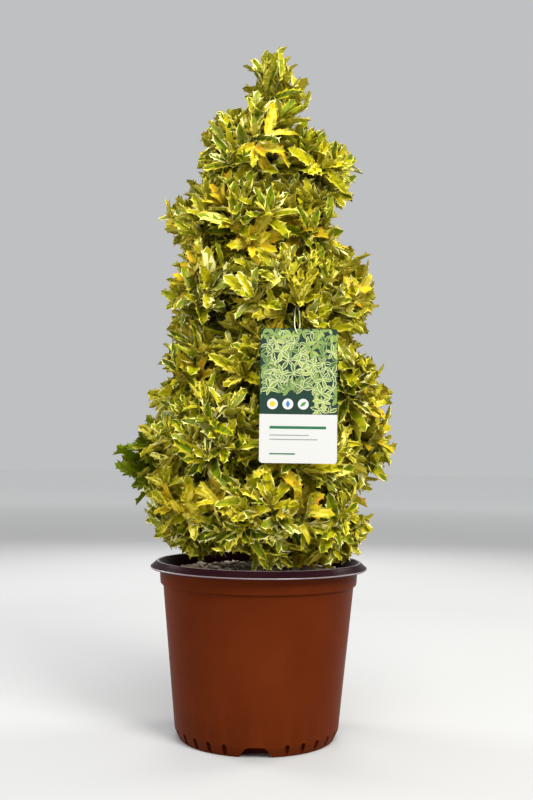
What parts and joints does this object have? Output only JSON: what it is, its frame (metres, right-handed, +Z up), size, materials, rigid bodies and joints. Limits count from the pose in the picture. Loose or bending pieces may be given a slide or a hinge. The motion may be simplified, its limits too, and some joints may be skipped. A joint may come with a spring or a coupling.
{
  "type": "potted holly shrub",
  "caption": "Golden-edged holly grown as a dense, narrow pyramid in a round brown nursery pot, with a picture label hung on it.",
  "frame": {"origin": "middle of the pot's flat underside, on the pot's axis", "axes": "+Z up along the plant, -Y towards the plant's front where the label hangs, +X to the right seen from the front"},
  "size_m": [0.3702, 0.3149, 0.9041],
  "materials": {
    "pot_plastic": "satin",
    "soil": "rough",
    "bark": "rough",
    "holly_leaf": "waxy",
    "label_card": "smooth",
    "loop_cord": "smooth"
  },
  "bodies": {
    "root": {"pot": "pot_plastic", "potting_soil": "soil", "trunk": "bark", "bough_skirt_1": "bark", "bough_skirt_2": "bark", "bough_skirt_3": "bark", "bough_skirt_4": "bark", "bough_skirt_5": "bark", "bough_low_1": "bark", "bough_low_2": "bark", "bough_low_3": "bark", "bough_low_4": "bark", "bough_low_5": "bark", "bough_waist_1": "bark", "bough_waist_2": "bark", "bough_waist_3": "bark", "bough_waist_4": "bark", "bough_waist_5": "bark", "bough_middle_1": "bark", "bough_middle_2": "bark", "bough_middle_3": "bark", "bough_middle_4": "bark", "bough_shoulder_1": "bark", "bough_shoulder_2": "bark", "bough_shoulder_3": "bark", "bough_shoulder_4": "bark", "bough_upper_1": "bark", "bough_upper_2": "bark", "bough_upper_3": "bark", "foliage_skirt_1": "holly_leaf", "foliage_skirt_2": "holly_leaf", "foliage_skirt_3": "holly_leaf", "foliage_skirt_4": "holly_leaf", "foliage_skirt_5": "holly_leaf", "foliage_low_1": "holly_leaf", "foliage_low_2": "holly_leaf", "foliage_low_3": "holly_leaf", "foliage_low_4": "holly_leaf", "foliage_low_5": "holly_leaf", "foliage_waist_1": "holly_leaf", "foliage_waist_2": "holly_leaf", "foliage_waist_3": "holly_leaf", "foliage_waist_4": "holly_leaf", "foliage_waist_5": "holly_leaf", "foliage_middle_1": "holly_leaf", "foliage_middle_2": "holly_leaf", "foliage_middle_3": "holly_leaf", "foliage_middle_4": "holly_leaf", "foliage_shoulder_1": "holly_leaf", "foliage_shoulder_2": "holly_leaf", "foliage_shoulder_3": "holly_leaf", "foliage_shoulder_4": "holly_leaf", "foliage_upper_1": "holly_leaf", "foliage_upper_2": "holly_leaf", "foliage_upper_3": "holly_leaf", "foliage_leader": "holly_leaf", "label": "label_card", "label_loop": "loop_cord"}
  },
  "joints": []
}
